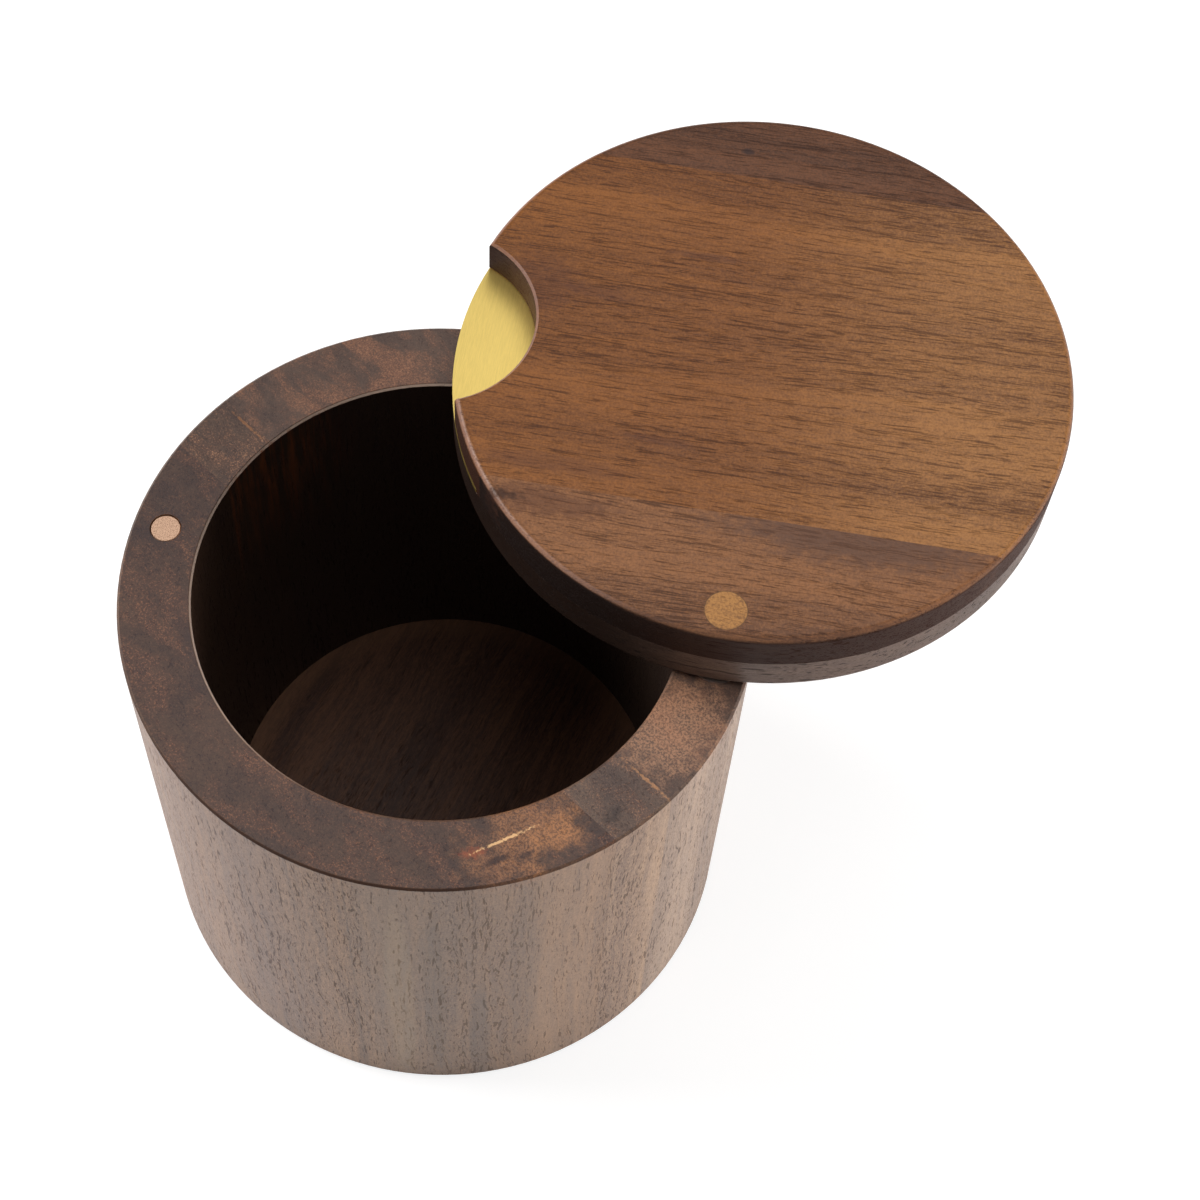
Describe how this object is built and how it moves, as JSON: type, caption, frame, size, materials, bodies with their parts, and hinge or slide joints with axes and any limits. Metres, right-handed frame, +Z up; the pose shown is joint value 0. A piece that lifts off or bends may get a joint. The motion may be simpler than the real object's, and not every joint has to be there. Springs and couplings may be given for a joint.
{
  "type": "salt box with swivel lid",
  "caption": "Round dark wooden salt box whose two-layer lid swivels sideways on a plugged pivot, with a brass-floored finger notch and rim magnet.",
  "frame": {"origin": "centre of the flat base face, on the axis of the body's bore", "axes": "+Z up; the lid's pivot stands on +X and the rim magnet on -X; the finger notch of the closed lid faces -Y. The lid is stored swung open by 85.5 degrees, as in the picture."},
  "size_m": [0.1405, 0.1439, 0.1039],
  "materials": {
    "body_wood": "oiled satin, long grain upright, end grain on the rim",
    "strip_wood": "oiled satin, long grain upright, end grain on the rim",
    "floor_wood": "oiled satin, long grain across",
    "lid_top_wood": "oiled satin, open pores",
    "lid_dark_wood": "oiled satin, open pores",
    "lid_base_wood": "oiled satin",
    "plug_wood": "oiled satin",
    "brass": "brushed satin",
    "magnet_metal": "speckled, copper-toned plating",
    "screw_steel": "zinc plated",
    "washer_steel": "bright"
  },
  "bodies": {
    "box": {"body_board_back": "body_wood", "body_board_front": "body_wood", "body_strip_left": "strip_wood", "body_strip_right": "strip_wood", "floor_disc": "floor_wood", "rim_magnet": "magnet_metal", "pivot_screw": "screw_steel", "rim_washer": "washer_steel"},
    "lid": {"lid_base": "lid_base_wood", "lid_top_left": "lid_dark_wood", "lid_top_middle": "lid_top_wood", "lid_top_right": "lid_top_wood", "brass_plate": "brass", "head_washer": "washer_steel", "pivot_plug": "plug_wood", "lid_magnet": "magnet_metal"}
  },
  "joints": [
    {"name": "lid_swing", "type": "hinge", "parent": "box", "child": "lid", "pos_m": [0.0447, 0, 0.0885], "axis": [0, 0, 1], "continuous": true}
  ]
}
